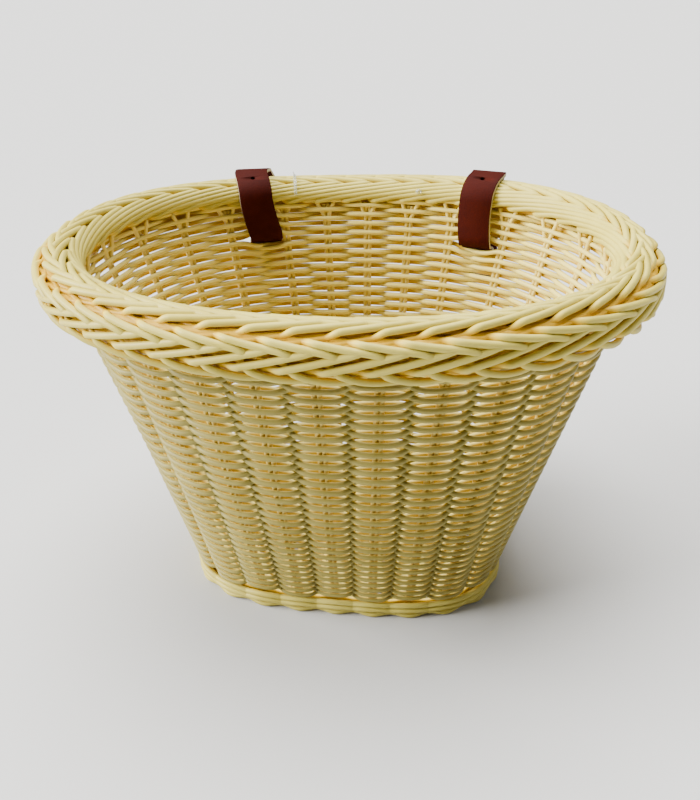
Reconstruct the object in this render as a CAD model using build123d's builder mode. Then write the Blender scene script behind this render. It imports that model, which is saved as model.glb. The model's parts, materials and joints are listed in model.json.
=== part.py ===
"""Handlebar basket: an oval woven basket with a plaited rim, hung by two buckled leather straps.

Millimetres, +Z up. The front faces -Y and the straps are at the back, +Y. The origin is on the surface the
basket stands on, under the middle of the whole part, straps included.
"""

import math
import os

from build123d import *

os.makedirs("parts", exist_ok=True)

# Where the middle of the basket's plan lies, so that the part's box is centred on the origin.
PLAN_Y = -15.203

# Plans: half width, reach to the front, reach to the back, and how square the oval is (2 is an ellipse).
RIM_PLAN = (161.0, 110.0, 125.7, 2.15)
WALL_TOP_PLAN = (155.1, 101.6, 116.9, 2.15)
WALL_FOOT_PLAN = (95.6, 69.1, 82.8, 3.2)

# Heights and thicknesses of the woven parts.
FOOT_HEIGHT = 11.0
FOOT_HALF_WIDTH = 5.2
WALL_TOP = 198.0
WALL_THICKNESS = 8.4
RIM_HALF_WIDTH = 14.0
RIM_HALF_HEIGHT = 11.0
RIM_MIDDLE = 209.0
BASE_BOTTOM = 2.4
BASE_THICKNESS = 5.6

# Stakes: pairs of round strands that stand in the middle of the wall.
STAKE_PAIRS = 26
STAKE_RADIUS = 1.35
STAKE_SPACING = 2.8
STAKE_CLEARANCE = 0.05
STAKE_INSET = 1.0
# The pairs between the straps are pushed towards the back's middle, in pitches, to leave the straps room.
STRAP_PUSH = {1: 0.11, 2: 0.20}

# Straps, and the handlebar that they hold.
STRAP_WIDTH = 22.0
STRAP_THICKNESS = 2.8
STRAP_PITCHES = 2.35
STRAP_GAP = 0.3
OVER_RIM_GAP = 1.3
BAR_RADIUS = 12.7
BAR_CLEARANCE = 0.1
BAR_MIDDLE = (133.5, 151.0)
SLOT_HEIGHT = 171.0
SLOT_HALF_HEIGHT = 4.8
SLOT_SPARE = 2.0
INSIDE_GAP = 1.6
INSIDE_BEND = (5.0, 1.0, 2.6)
EXIT_REACH = 9.0
OVER_RIM_ANGLES = (46, 68, 90, 112, 134, 156, 176)
SLOT_DROP = math.radians(20)
STRAP_HOLE_TURN = math.radians(112)
TAIL_START = 2.0
TAIL_BEND_RADIUS = 60.0
TAIL_BEND_ANGLE = 24.0
HOLE_RADIUS = 2.0
HOLE_PITCH = 14.0

# Buckle: distances down the rear leg of the strap from where it leaves the rim.
LEG_START = 3.0
FRONT_BAR_AT = 14.0
HEEL_AT = 31.0
RIVET_AT = 36.8
KEEPER_AT = 39.7
KEEPER_WIDTH = 5.0
FOLD_END = 46.0
WIRE_RADIUS = 1.4
PIVOT_CLEARANCE = 0.05
FOLD_THICKNESS = 1.6
FRAME_HALF_WIDTH = 13.6
PRONG_WIDTH = 3.0
PRONG_THICKNESS = 2.0
PRONG_SLOT = 4.2
PRONG_SLIT = (7.6, 7.4)
PRONG_HOLE_AT = 29.4
PRONG_HOLE_LENGTH = 10.0
PRONG_EYE = 1.4
FRAME_CORNER = 1.7
KEEPER_CORNER = 2.0
KEEPER_THICKNESS = 1.2
RIVET_RADIUS = 1.2
RIVET_HEAD = 2.3
RIVET_HEAD_HEIGHT = 1.0
RIVET_CHAMFER = 0.5
RIVET_SPACING = 12.0

FINE_STEPS = 720
LOFT_POINTS = 72


def signed_power(value, power):
    return math.copysign(abs(value) ** power, value)


def plan_points(plan):
    """Fine points along a plan, from the back's middle towards +X, with the length up to each."""
    half_width, front, back, square = plan
    points = []
    for step in range(FINE_STEPS + 1):
        angle = math.pi / 2 - 2 * math.pi * step / FINE_STEPS
        reach = back if math.sin(angle) > 0 else front
        x = half_width * signed_power(math.cos(angle), 2 / square)
        y = reach * signed_power(math.sin(angle), 2 / square)
        points.append((x, PLAN_Y + y))
    lengths = [0.0]
    for one, two in zip(points, points[1:]):
        lengths.append(lengths[-1] + math.dist(one, two))
    return points, lengths


RIM_CURVE = plan_points(RIM_PLAN)
WALL_TOP_CURVE = plan_points(WALL_TOP_PLAN)
WALL_FOOT_CURVE = plan_points(WALL_FOOT_PLAN)


def plan_at(curve, share):
    """The point at a share of a plan's length from the back's middle, and the unit vector outwards."""
    points, lengths = curve
    wanted = (share % 1.0) * lengths[-1]
    low, high = 0, FINE_STEPS
    while high - low > 1:
        middle = (low + high) // 2
        if lengths[middle] <= wanted:
            low = middle
        else:
            high = middle
    part = (wanted - lengths[low]) / (lengths[high] - lengths[low])
    x = points[low][0] + part * (points[high][0] - points[low][0])
    y = points[low][1] + part * (points[high][1] - points[low][1])
    before, after = points[(low - 3) % FINE_STEPS], points[(high + 3) % FINE_STEPS]
    along = Vector(after[0] - before[0], after[1] - before[1], 0).normalized()
    return Vector(x, y, 0), Vector(-along.Y, along.X, 0)


def wall_at(share, height):
    """A point in the middle of the wall's thickness, with the horizontal unit vector outwards."""
    foot, foot_out = plan_at(WALL_FOOT_CURVE, share)
    top, top_out = plan_at(WALL_TOP_CURVE, share)
    part = (height - FOOT_HEIGHT) / (WALL_TOP - FOOT_HEIGHT)
    middle = foot + (top - foot) * part
    outwards = (foot_out + (top_out - foot_out) * part).normalized()
    return Vector(middle.X, middle.Y, height), outwards


def plan_face(curve, offset, height):
    """A face at a height in the outline of a plan, moved outwards by offset."""
    with BuildSketch(Plane.XY.offset(height)) as face:
        with BuildLine():
            outline = []
            for step in range(LOFT_POINTS):
                point, outwards = plan_at(curve, step / LOFT_POINTS)
                moved = point + outwards * offset
                outline.append((moved.X, moved.Y))
            Spline(*outline, periodic=True)
        make_face()
    return face.sketch.face()


def ring(curve, middle, half_width, half_height):
    """A rounded ring that follows a plan: an outer loft less an inner one."""
    angles = (-72, -45, -15, 15, 45, 72)
    tall = math.sin(math.radians(angles[-1]))
    wide = math.cos(math.radians(angles[3]))
    for side, mode in ((1, Mode.ADD), (-1, Mode.SUBTRACT)):
        faces = []
        for angle in angles:
            turn = math.radians(angle)
            height = middle + half_height * math.sin(turn) / tall
            faces.append(plan_face(curve, side * half_width * math.cos(turn) / wide, height))
        loft(faces, ruled=True, mode=mode)


def stake_share(index):
    """How far round the plan a stake pair stands, from the back's middle."""
    steps = min(index, STAKE_PAIRS - index)
    moved = steps - STRAP_PUSH.get(steps, 0.0)
    return moved / STAKE_PAIRS if index == steps else 1 - moved / STAKE_PAIRS


def stake_plane(index, height):
    """The plane across a stake pair, with x along the wall and z up the stakes."""
    low, outwards = wall_at(stake_share(index), FOOT_HEIGHT)
    high, _ = wall_at(stake_share(index), WALL_TOP)
    up = (high - low).normalized()
    origin = low + up * ((height - FOOT_HEIGHT) / up.Z)
    along = Vector(0, 0, 1).cross(outwards)
    along = along - up * along.dot(up)
    return Plane(origin=origin, x_dir=along.normalized(), z_dir=up)


# --- Where the right strap runs ---------------------------------------------------------------------------

STRAP_SHARE = STRAP_PITCHES / STAKE_PAIRS
RIM_AT_STRAP, RIM_OUT = plan_at(RIM_CURVE, STRAP_SHARE)
STRAP_X = RIM_AT_STRAP.X
BAR_Y = PLAN_Y + BAR_MIDDLE[0]
BAR_Z = BAR_MIDDLE[1]
HALF_STRAP = STRAP_THICKNESS / 2
ARC_RADIUS = BAR_RADIUS + BAR_CLEARANCE + HALF_STRAP
OVER_RIM_WIDTH = RIM_HALF_WIDTH + HALF_STRAP + OVER_RIM_GAP
OVER_RIM_HEIGHT = RIM_HALF_HEIGHT + HALF_STRAP + OVER_RIM_GAP
LAYER_STEP = STRAP_THICKNESS + STRAP_GAP
# The rear leg lies square to the bar, so it clears the rim where the rim reaches furthest back under it.
EDGE_REACH = STRAP_WIDTH / 2 * RIM_OUT.X / RIM_OUT.Y
RIM_BACK = RIM_AT_STRAP.Y + EDGE_REACH


def leg_angle():
    """The angle of the line that touches the rim's section and the tongue's layer round the bar."""
    half_width = OVER_RIM_WIDTH / RIM_OUT.Y
    low, high = 0.0, math.pi / 2
    for _ in range(60):
        turn = (low + high) / 2
        rim_reach = RIM_BACK * math.cos(turn) + RIM_MIDDLE * math.sin(turn)
        rim_reach += math.hypot(half_width * math.cos(turn), OVER_RIM_HEIGHT * math.sin(turn))
        bar_reach = BAR_Y * math.cos(turn) + BAR_Z * math.sin(turn) + ARC_RADIUS + LAYER_STEP
        if rim_reach < bar_reach:
            low = turn
        else:
            high = turn
    return turn


LEG_TURN = leg_angle()
LEG_OUT = Vector(0, math.cos(LEG_TURN), math.sin(LEG_TURN))
LEG_DOWN = Vector(0, math.sin(LEG_TURN), -math.cos(LEG_TURN))
TOUCH = math.hypot(OVER_RIM_WIDTH / RIM_OUT.Y * math.cos(LEG_TURN), OVER_RIM_HEIGHT * math.sin(LEG_TURN))
LEG_TOP = Vector(
    STRAP_X,
    RIM_BACK + (OVER_RIM_WIDTH / RIM_OUT.Y) ** 2 * math.cos(LEG_TURN) / TOUCH,
    RIM_MIDDLE + OVER_RIM_HEIGHT**2 * math.sin(LEG_TURN) / TOUCH,
)
BAR_CENTRE = Vector(STRAP_X, BAR_Y, BAR_Z)
# The leg's own plane: x runs down the leg and y points away from the basket.
LEG = Plane(origin=LEG_TOP, x_dir=LEG_DOWN, z_dir=(1, 0, 0))
LEG_LENGTH = (BAR_CENTRE - LEG_TOP).dot(LEG_DOWN)
INNER_LAYER = -LAYER_STEP
INNER_FACE = INNER_LAYER - HALF_STRAP
HEEL_OUT = INNER_LAYER + HALF_STRAP - FOLD_THICKNESS - WIRE_RADIUS - PIVOT_CLEARANCE
FRONT_BAR_OUT = HALF_STRAP + STRAP_GAP + WIRE_RADIUS
FOLD_FACE = INNER_FACE - FOLD_THICKNESS

# The strap comes off the wall towards the bar and meets it at this angle below.
SLOT_MIDDLE, SLOT_OUT = wall_at(STRAP_SHARE, SLOT_HEIGHT)
SLOT_ALONG = Vector(SLOT_OUT.Y, -SLOT_OUT.X, 0)
THROUGH = SLOT_OUT * math.cos(SLOT_DROP) - Vector(0, 0, math.sin(SLOT_DROP))
WALL_EXIT = SLOT_MIDDLE + THROUGH * EXIT_REACH
EXIT_ACROSS = BAR_Y - WALL_EXIT.Y
EXIT_UP = BAR_Z - WALL_EXIT.Z
EXIT_TURN = math.atan2(EXIT_UP, EXIT_ACROSS) - math.asin(ARC_RADIUS / math.hypot(EXIT_ACROSS, EXIT_UP))
ARC_START = EXIT_TURN - math.pi / 2
print("strap wraps the bar by", round(math.degrees(LEG_TURN - ARC_START), 1), "degrees of 360")
print("rear leg is", round(LEG_LENGTH, 1), "long, leaning", round(math.degrees(LEG_TURN), 1))


def strap_sections():
    """Middles, directions and width directions of the strap from the rear leg over the rim to the bar."""
    across = Vector(1, 0, 0)
    turned = Vector(RIM_OUT.Y, -RIM_OUT.X, 0)
    sections = [(LEG_TOP + LEG_DOWN * LEG_START, LEG_DOWN * -1, across), (LEG_TOP, LEG_DOWN * -1, across)]
    start = math.degrees(math.atan2(LEG_TOP.Z - RIM_MIDDLE, LEG_TOP.Y - RIM_BACK))
    for angle in OVER_RIM_ANGLES:
        share = min(1.0, (angle - start) / (90 - start))
        width_dir = (across + (turned - across) * share).normalized()
        outwards = Vector(0, 0, 1).cross(width_dir)
        turn = math.radians(angle)
        middle = RIM_AT_STRAP + outwards * (OVER_RIM_WIDTH * math.cos(turn))
        middle += Vector(0, EDGE_REACH * (1 - share), RIM_MIDDLE + OVER_RIM_HEIGHT * math.sin(turn))
        forward = outwards * (-OVER_RIM_WIDTH * math.sin(turn))
        forward += Vector(0, 0, OVER_RIM_HEIGHT * math.cos(turn))
        sections.append((middle, forward.normalized(), width_dir))
    inside = sections[-1][0]
    rise, forward_step, drop = INSIDE_BEND
    leg_foot = SLOT_MIDDLE - SLOT_OUT * (WALL_THICKNESS / 2 + HALF_STRAP + INSIDE_GAP) + Vector(0, 0, rise)
    down = (leg_foot - inside).normalized()
    for share in (0.25, 0.6, 0.93):
        sections.append((inside + (leg_foot - inside) * share, down, turned))
    bend = leg_foot + SLOT_OUT * forward_step - Vector(0, 0, drop)
    sections.append((bend, (down + THROUGH * 0.9).normalized(), SLOT_ALONG))
    sections.append((SLOT_MIDDLE - THROUGH * 2.2, THROUGH, SLOT_ALONG))
    sections.append((SLOT_MIDDLE + THROUGH * 6.0, THROUGH, SLOT_ALONG))
    onto_bar = Vector(0, math.cos(EXIT_TURN), math.sin(EXIT_TURN))
    touch = BAR_CENTRE + Vector(0, math.cos(ARC_START), math.sin(ARC_START)) * ARC_RADIUS
    half_turned = (SLOT_ALONG + across).normalized()
    before = (WALL_EXIT + (touch - WALL_EXIT) * 0.45, (touch - WALL_EXIT).normalized(), half_turned)
    sections.append(before)
    sections.append((touch, onto_bar, across))
    return sections


# --- Woven basket -----------------------------------------------------------------------------------------

with BuildPart() as wall_weave:
    for offset, mode in ((WALL_THICKNESS / 2, Mode.ADD), (-WALL_THICKNESS / 2, Mode.SUBTRACT)):
        foot = plan_face(WALL_FOOT_CURVE, offset, FOOT_HEIGHT)
        top = plan_face(WALL_TOP_CURVE, offset, WALL_TOP)
        loft([foot, top], ruled=True, mode=mode)
    # Channels that the stakes stand in.
    for index in range(STAKE_PAIRS):
        channel = stake_plane(index, FOOT_HEIGHT - 2)
        with BuildSketch(channel):
            across = STAKE_SPACING + 2 * (STAKE_RADIUS + STAKE_CLEARANCE)
            SlotOverall(across, 2 * (STAKE_RADIUS + STAKE_CLEARANCE))
        extrude(amount=(WALL_TOP - FOOT_HEIGHT + 4) / channel.z_dir.Z, mode=Mode.SUBTRACT)
    # Gaps between two rows of weaving, where the straps pass through.
    for side in (1, -1):
        middle = Vector(side * SLOT_MIDDLE.X, SLOT_MIDDLE.Y, SLOT_MIDDLE.Z)
        along = Vector(SLOT_ALONG.X, side * SLOT_ALONG.Y, 0)
        with BuildSketch(Plane(origin=middle, x_dir=along, z_dir=(0, 0, 1))):
            Rectangle(STRAP_WIDTH + SLOT_SPARE, 3 * WALL_THICKNESS)
        extrude(amount=SLOT_HALF_HEIGHT, both=True, mode=Mode.SUBTRACT)
wall_weave.part.label = "wall_weave"
export_step(wall_weave.part, "parts/wall_weave.step")

for index in range(STAKE_PAIRS):
    standing = stake_plane(index, FOOT_HEIGHT + STAKE_INSET)
    with BuildPart() as stake_pair:
        with BuildSketch(standing):
            with GridLocations(STAKE_SPACING, 0, 2, 1):
                Circle(STAKE_RADIUS)
        extrude(amount=(WALL_TOP - FOOT_HEIGHT - 2 * STAKE_INSET) / standing.z_dir.Z)
    name = f"stake_pair_{index + 1:02d}"
    stake_pair.part.label = name
    export_step(stake_pair.part, f"parts/{name}.step")

with BuildPart() as rim_braid:
    ring(RIM_CURVE, RIM_MIDDLE, RIM_HALF_WIDTH, RIM_HALF_HEIGHT)
rim_braid.part.label = "rim_braid"
export_step(rim_braid.part, "parts/rim_braid.step")

with BuildPart() as foot_border:
    ring(WALL_FOOT_CURVE, FOOT_HEIGHT / 2, FOOT_HALF_WIDTH, FOOT_HEIGHT / 2)
foot_border.part.label = "foot_border"
export_step(foot_border.part, "parts/foot_border.step")

with BuildPart() as base_weave:
    extrude(plan_face(WALL_FOOT_CURVE, -FOOT_HALF_WIDTH - 0.1, BASE_BOTTOM), amount=BASE_THICKNESS)
base_weave.part.label = "base_weave"
export_step(base_weave.part, "parts/base_weave.step")

# --- Straps and buckles -----------------------------------------------------------------------------------

LEG_TO_TAIL = LEG_LENGTH + TAIL_START
HEEL = (HEEL_AT, HEEL_OUT)
FRONT = (FRONT_BAR_AT, FRONT_BAR_OUT)

with BuildPart() as strap:
    # The run over the rim, down inside, through the wall and on to the bar.
    for middle, forward, width_dir in strap_sections():
        with BuildSketch(Plane(origin=middle, x_dir=width_dir, z_dir=forward)):
            Rectangle(STRAP_WIDTH, STRAP_THICKNESS)
    loft(ruled=True)
    # The tongue: down the rear leg, through the buckle, and hanging free below it.
    with BuildLine(LEG) as tongue_path:
        Line((LEG_START, 0), (LEG_TO_TAIL, 0))
        bend_centre = (LEG_TO_TAIL, -TAIL_BEND_RADIUS)
        CenterArc(bend_centre, TAIL_BEND_RADIUS, 90, -TAIL_BEND_ANGLE)
    with BuildSketch(Plane(origin=LEG_TOP + LEG_DOWN * LEG_START, x_dir=(1, 0, 0), z_dir=LEG_DOWN)):
        Rectangle(STRAP_WIDTH, STRAP_THICKNESS)
    sweep(path=tongue_path.wires()[0])
    # Round the bar, up the inner layer of the leg, and folded round the buckle's heel bar.
    with BuildSketch(Plane(origin=BAR_CENTRE, x_dir=(0, 1, 0), z_dir=(1, 0, 0))):
        with BuildLine():
            start, end = math.degrees(ARC_START), math.degrees(LEG_TURN)
            inner = CenterArc((0, 0), ARC_RADIUS - HALF_STRAP, start, end - start)
            outer = CenterArc((0, 0), ARC_RADIUS + HALF_STRAP, start, end - start)
            Line(inner @ 0, outer @ 0)
            Line(inner @ 1, outer @ 1)
        make_face()
    extrude(amount=STRAP_WIDTH / 2, both=True)
    with BuildSketch(LEG):
        with BuildLine():
            fold_top = HEEL_OUT - WIRE_RADIUS - PIVOT_CLEARANCE - FOLD_THICKNESS
            Polyline(
                (HEEL_AT, INNER_FACE + STRAP_THICKNESS),
                (LEG_LENGTH, INNER_FACE + STRAP_THICKNESS),
                (LEG_LENGTH, INNER_FACE),
                (FOLD_END, INNER_FACE),
                (FOLD_END, FOLD_FACE),
                (HEEL_AT + 3.2, FOLD_FACE),
                (HEEL_AT, fold_top),
                close=True,
            )
        make_face()
        with Locations(HEEL):
            Circle(WIRE_RADIUS + PIVOT_CLEARANCE + FOLD_THICKNESS)
            Circle(WIRE_RADIUS + PIVOT_CLEARANCE, mode=Mode.SUBTRACT)
    extrude(amount=STRAP_WIDTH / 2, both=True)
    # The slit in the fold that the prong turns in.
    with BuildSketch(LEG):
        with Locations((HEEL_AT, HEEL_OUT)):
            Rectangle(*PRONG_SLIT)
    extrude(amount=PRONG_SLOT / 2, both=True, mode=Mode.SUBTRACT)
    # The prong's hole in the tongue, and the row of punched holes.
    with BuildSketch(Plane(origin=LEG_TOP, x_dir=LEG_DOWN, z_dir=LEG_OUT)):
        with Locations((PRONG_HOLE_AT, 0)):
            SlotOverall(PRONG_HOLE_LENGTH, PRONG_SLOT)
        with Locations((FRONT_BAR_AT, 0), (HEEL_AT + HOLE_PITCH, 0), (HEEL_AT + 2 * HOLE_PITCH, 0)):
            Circle(HOLE_RADIUS)
    extrude(amount=HALF_STRAP + 0.1, both=True, mode=Mode.SUBTRACT)
    hole_out = RIM_OUT * math.cos(STRAP_HOLE_TURN) + Vector(0, 0, math.sin(STRAP_HOLE_TURN))
    hole_middle = RIM_AT_STRAP + RIM_OUT * (OVER_RIM_WIDTH * math.cos(STRAP_HOLE_TURN))
    hole_middle += Vector(0, 0, RIM_MIDDLE + OVER_RIM_HEIGHT * math.sin(STRAP_HOLE_TURN))
    with BuildSketch(Plane(origin=hole_middle, x_dir=(RIM_OUT.Y, -RIM_OUT.X, 0), z_dir=hole_out)):
        Circle(HOLE_RADIUS)
    extrude(amount=STRAP_THICKNESS, both=True, mode=Mode.SUBTRACT)
    # Rivet holes through the folded end.
    with BuildSketch(Plane(origin=LEG_TOP, x_dir=LEG_DOWN, z_dir=LEG_OUT).offset(FOLD_FACE - 0.1)):
        with Locations((RIVET_AT, RIVET_SPACING / 2), (RIVET_AT, -RIVET_SPACING / 2)):
            Circle(RIVET_RADIUS)
    extrude(amount=STRAP_THICKNESS + FOLD_THICKNESS + 0.2, mode=Mode.SUBTRACT)

REACH = math.dist(HEEL, FRONT)
TOWARDS = LEG_DOWN * ((FRONT[0] - HEEL[0]) / REACH) + LEG_OUT * ((FRONT[1] - HEEL[1]) / REACH)
HEEL_POINT = LEG_TOP + LEG_DOWN * HEEL[0] + LEG_OUT * HEEL[1]
FRAME_PLANE = Plane(origin=HEEL_POINT, x_dir=(1, 0, 0), z_dir=Vector(1, 0, 0).cross(TOWARDS))
with BuildSketch(FRAME_PLANE) as frame_outline:
    with Locations((0, REACH / 2)):
        RectangleRounded(2 * FRAME_HALF_WIDTH, REACH, FRAME_CORNER)

FRAME_PATH = frame_outline.sketch.face().outer_wire()

with BuildPart() as buckle_frame:
    with BuildSketch(Plane(origin=FRAME_PATH @ 0, z_dir=FRAME_PATH % 0)):
        Circle(WIRE_RADIUS)
    sweep(path=FRAME_PATH)

with BuildPart() as prong:
    with BuildSketch(LEG):
        with Locations(HEEL):
            Circle(WIRE_RADIUS + PIVOT_CLEARANCE + PRONG_EYE)
        with BuildLine():
            rest = FRONT_BAR_OUT + WIRE_RADIUS + 0.06
            Polyline(
                (HEEL_AT - 1.9, HEEL_OUT + 0.6),
                (HEEL_AT - 4.6, HALF_STRAP + 0.3),
                (HEEL_AT - 6.4, HALF_STRAP + 1.6),
                (FRONT_BAR_AT, rest),
                (FRONT_BAR_AT - 2.6, rest - 0.5),
                (FRONT_BAR_AT - 2.8, rest + PRONG_THICKNESS - 1.2),
                (FRONT_BAR_AT, rest + PRONG_THICKNESS),
                (HEEL_AT - 7.0, HALF_STRAP + 4.0),
                (HEEL_AT - 4.0, HALF_STRAP + 2.6),
                (HEEL_AT - 1.8, HALF_STRAP - 0.6),
                (HEEL_AT + 0.6, HEEL_OUT + 2.4),
                close=True,
            )
        make_face()
        with Locations(HEEL):
            Circle(WIRE_RADIUS + PIVOT_CLEARANCE, mode=Mode.SUBTRACT)
    extrude(amount=PRONG_WIDTH / 2, both=True)

with BuildPart() as keeper:
    inner_low = FOLD_FACE - STRAP_GAP
    inner_high = HALF_STRAP + STRAP_GAP
    keeper_depth = inner_high - inner_low
    with BuildSketch(Plane(origin=LEG_TOP + LEG_DOWN * KEEPER_AT, x_dir=(1, 0, 0), z_dir=LEG_DOWN)):
        with Locations((0, -(inner_high + inner_low) / 2)):
            outside = STRAP_WIDTH + 2 * (STRAP_GAP + KEEPER_THICKNESS)
            RectangleRounded(outside, keeper_depth + 2 * KEEPER_THICKNESS, KEEPER_CORNER)
            Rectangle(STRAP_WIDTH + 2 * STRAP_GAP, keeper_depth, mode=Mode.SUBTRACT)
    extrude(amount=KEEPER_WIDTH)

with BuildPart() as fold_rivets:
    seat = Plane(origin=LEG_TOP, x_dir=LEG_DOWN, z_dir=LEG_OUT).offset(FOLD_FACE)
    with BuildSketch(seat):
        with Locations((RIVET_AT, RIVET_SPACING / 2), (RIVET_AT, -RIVET_SPACING / 2)):
            Circle(RIVET_RADIUS)
    extrude(amount=STRAP_THICKNESS + FOLD_THICKNESS)
    with BuildSketch(seat):
        with Locations((RIVET_AT, RIVET_SPACING / 2), (RIVET_AT, -RIVET_SPACING / 2)):
            Circle(RIVET_HEAD)
    extrude(amount=-RIVET_HEAD_HEIGHT)
    heads = fold_rivets.edges().filter_by(GeomType.CIRCLE).group_by(SortBy.RADIUS)[-1]
    chamfer(heads.sort_by(Axis.Y)[:2], length=RIVET_CHAMFER)

for piece, name in (
    (strap, "strap"),
    (buckle_frame, "buckle_frame"),
    (prong, "buckle_prong"),
    (keeper, "strap_keeper"),
    (fold_rivets, "fold_rivets"),
):
    piece.part.label = f"{name}_right"
    export_step(piece.part, f"parts/{name}_right.step")
    with BuildPart() as mirrored:
        add(mirror(piece.part, about=Plane.YZ))
    mirrored.part.label = f"{name}_left"
    export_step(mirrored.part, f"parts/{name}_left.step")

print("bar centre", round(BAR_Y, 3), round(BAR_Z, 3), "strap x", round(STRAP_X, 3))
print("heel axis", LEG_TOP + LEG_DOWN * HEEL[0] + LEG_OUT * HEEL[1], "down the leg", LEG_DOWN)
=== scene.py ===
"""Handlebar basket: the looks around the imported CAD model.

Every length below is in millimetres and is turned into metres by MM. +Z is up, the front faces -Y, and the
straps are at the back. Each strand of the weave, the rim, the foot and the base is its own tube.
"""

import json
import math

import bpy
import numpy as np
from mathutils import Matrix, Vector


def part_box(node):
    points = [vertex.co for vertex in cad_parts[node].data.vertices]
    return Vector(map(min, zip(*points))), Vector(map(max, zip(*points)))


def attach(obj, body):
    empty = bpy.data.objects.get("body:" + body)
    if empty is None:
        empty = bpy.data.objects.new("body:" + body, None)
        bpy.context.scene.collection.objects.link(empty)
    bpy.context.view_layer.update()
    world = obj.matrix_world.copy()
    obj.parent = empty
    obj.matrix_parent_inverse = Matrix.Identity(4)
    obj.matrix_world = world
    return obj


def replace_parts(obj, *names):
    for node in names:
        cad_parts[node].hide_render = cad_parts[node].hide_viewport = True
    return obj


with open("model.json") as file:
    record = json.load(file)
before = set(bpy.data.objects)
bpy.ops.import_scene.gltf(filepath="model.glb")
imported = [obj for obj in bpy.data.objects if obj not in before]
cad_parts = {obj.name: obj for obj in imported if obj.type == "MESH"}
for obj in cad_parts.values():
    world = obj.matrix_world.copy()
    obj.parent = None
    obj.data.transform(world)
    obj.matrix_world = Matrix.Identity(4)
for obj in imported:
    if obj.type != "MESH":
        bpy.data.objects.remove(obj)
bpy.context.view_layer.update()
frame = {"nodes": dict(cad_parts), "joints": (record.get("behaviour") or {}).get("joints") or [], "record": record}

MM = 0.001
rng = np.random.default_rng(7)
ACROSS = np.array([1.0, 0.0, 0.0])
UP = np.array([0.0, 0.0, 1.0])

# --- Driving dimensions, as in the CAD model ---------------------------------------------------------------

FOOT_HEIGHT = 11.0
WALL_TOP = 198.0
WALL_HALF = 4.2
RIM_MIDDLE = 209.0
RIM_HALF_WIDTH = 14.0
RIM_HALF_HEIGHT = 11.0
FOOT_HALF_WIDTH = 5.2
STAKE_PAIRS = 26
STRAP_PUSH = {1: 0.11, 2: 0.20}
STRAP_PITCHES = 2.35
STRAP_WIDTH = 22.0
STRAP_THICKNESS = 2.8
STRAP_GAP = 0.3
OVER_RIM_GAP = 1.3
OVER_TOP_GAP = 0.4
BAR_RADIUS = 12.8
SLOT_HEIGHT = 171.0
TAIL_BEND_RADIUS = 60.0
TAIL_BEND_ANGLE = 24.0
HEEL_AT = 31.0
FOLD_END = 46.0
FOLD_THICKNESS = 1.6
FRONT_HALF_DEPTH = 101.6

# Only in the looks: the straps ride high in their slots and lean towards +X, as leather does in use.
SLOT_LIFT = 4.0
STRAP_LEAN = 3.0

# The middle of the basket's plan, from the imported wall's front face.
PLAN_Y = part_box("wall_weave")[0].y / MM + FRONT_HALF_DEPTH + WALL_HALF


def signed_power(value, power):
    return np.sign(value) * np.abs(value) ** power


def unit(vectors):
    return vectors / np.linalg.norm(vectors, axis=-1, keepdims=True)


def lift(flat, height=0.0):
    return np.array([flat[0], flat[1], height])


def smooth_step(value):
    value = np.clip(value, 0, 1)
    return value * value * (3 - 2 * value)


class Plan:
    """A squared oval, followed by the share of its length from the back's middle towards +X."""

    def __init__(self, half_width, front, back, square):
        angle = math.pi / 2 - np.linspace(0, 2 * math.pi, 2881)
        reach = np.where(np.sin(angle) > 0, back, front)
        self.x = half_width * signed_power(np.cos(angle), 2 / square)
        self.y = PLAN_Y + reach * signed_power(np.sin(angle), 2 / square)
        steps = np.hypot(np.diff(self.x), np.diff(self.y))
        self.length = steps.sum()
        self.share = np.concatenate(([0], np.cumsum(steps))) / self.length

    def at(self, share):
        """Points and outward unit vectors, both with two columns."""
        share = np.asarray(share, float) % 1
        points = np.stack([np.interp(share, self.share, v) for v in (self.x, self.y)], -1)
        ends = []
        for step in (-0.003, 0.003):
            near = (share + step) % 1
            ends.append(np.stack([np.interp(near, self.share, v) for v in (self.x, self.y)], -1))
        along = unit(ends[1] - ends[0])
        return points, np.stack([-along[..., 1], along[..., 0]], -1)


RIM = Plan(161.0, 110.0, 125.7, 2.15)
TOP = Plan(155.1, FRONT_HALF_DEPTH, 116.9, 2.15)
FOOT = Plan(95.6, 69.1, 82.8, 3.2)


def stake_share(index):
    steps = min(index, STAKE_PAIRS - index)
    moved = steps - STRAP_PUSH.get(steps, 0.0)
    return moved / STAKE_PAIRS if index == steps else 1 - moved / STAKE_PAIRS


STAKES = np.array([stake_share(i) for i in range(STAKE_PAIRS)] + [1.0])


def stake_phase(share):
    """Whole numbers at the stakes, counted from the back's middle."""
    return np.interp(np.asarray(share) % 1, STAKES, np.arange(STAKE_PAIRS + 1))


def wall_at(share, height, offset=0.0):
    """Points in the wall at a height, moved outwards by offset, with the outward vectors."""
    foot, foot_out = FOOT.at(share)
    top, top_out = TOP.at(share)
    part = ((np.asarray(height) - FOOT_HEIGHT) / (WALL_TOP - FOOT_HEIGHT))[..., None]
    outwards = unit(foot_out + (top_out - foot_out) * part)
    flat = foot + (top - foot) * part + outwards * np.asarray(offset)[..., None]
    height = np.broadcast_to(height, flat.shape[:-1])
    return np.concatenate([flat, height[..., None]], -1), np.pad(outwards, [(0, 0), (0, 1)])


# --- Meshes ------------------------------------------------------------------------------------------------


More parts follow.
